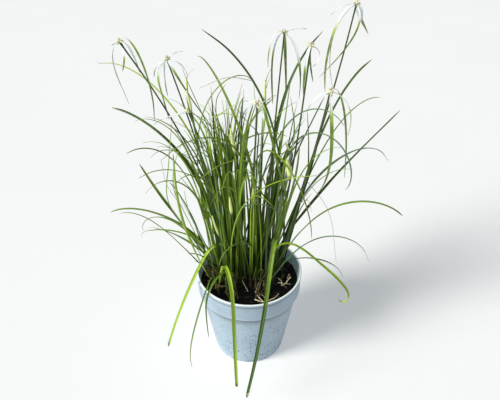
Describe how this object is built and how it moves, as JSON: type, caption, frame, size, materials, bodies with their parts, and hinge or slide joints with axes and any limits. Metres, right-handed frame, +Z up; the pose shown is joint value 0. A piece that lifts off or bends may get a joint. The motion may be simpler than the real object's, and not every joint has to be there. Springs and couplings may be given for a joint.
{
  "type": "potted cyperus",
  "caption": "Potted grassy sedge: arching narrow leaves, thin stems with white-bracted star heads, black peat, pale tapered nursery pot with a beaded collar.",
  "frame": {"origin": "centre of the pot's foot, on the surface that the pot stands on", "axes": "+Z up along the pot's axis, +X to the viewer's right in the picture, +Y away from the viewer"},
  "size_m": [0.3109, 0.2072, 0.397],
  "materials": {
    "pot_plastic": "pale blue-grey moulded plastic with dark specks",
    "peat": "moist black peat",
    "stem_green": "dark green smooth stem",
    "bract_white": "white bracts with green tips",
    "leaf_green": "green blade, slightly glossy",
    "young_shoots": "yellow-green young blade",
    "dead_root": "dry straw-coloured root"
  },
  "bodies": {
    "root": {"dead_root_fork": "dead_root", "dead_root_loop": "dead_root", "flower_head_1": "bract_white", "flower_head_2": "bract_white", "flower_head_3": "bract_white", "flower_head_4": "bract_white", "flower_head_5": "bract_white", "flower_head_6": "bract_white", "flower_head_7": "bract_white", "flower_head_8": "bract_white", "flower_stem_1": "stem_green", "flower_stem_2": "stem_green", "flower_stem_3": "stem_green", "flower_stem_4": "stem_green", "flower_stem_5": "stem_green", "flower_stem_6": "stem_green", "flower_stem_7": "stem_green", "flower_stem_8": "stem_green", "leaf_01": "leaf_green", "leaf_02": "leaf_green", "leaf_03": "leaf_green", "leaf_04": "leaf_green", "leaf_05": "leaf_green", "leaf_06": "leaf_green", "leaf_07": "leaf_green", "leaf_08": "leaf_green", "leaf_09": "leaf_green", "leaf_10": "leaf_green", "leaf_11": "leaf_green", "leaf_12": "leaf_green", "leaf_13": "leaf_green", "leaf_14": "leaf_green", "leaf_15": "leaf_green", "leaf_16": "leaf_green", "leaf_17": "leaf_green", "leaf_18": "leaf_green", "leaf_19": "leaf_green", "leaf_20": "leaf_green", "leaf_21": "leaf_green", "leaf_22": "leaf_green", "leaf_23": "leaf_green", "leaf_24": "leaf_green", "leaf_25": "leaf_green", "leaf_26": "leaf_green", "leaf_27": "leaf_green", "leaf_28": "leaf_green", "leaf_29": "leaf_green", "leaf_30": "leaf_green", "leaf_31": "leaf_green", "leaf_32": "leaf_green", "leaf_33": "leaf_green", "leaf_34": "leaf_green", "leaf_35": "leaf_green", "leaf_36": "leaf_green", "pot": "pot_plastic", "soil": "peat", "tuft_back_left": "young_shoots", "tuft_back_right": "young_shoots", "tuft_front_left": "young_shoots", "tuft_front_right": "young_shoots"}
  },
  "joints": []
}
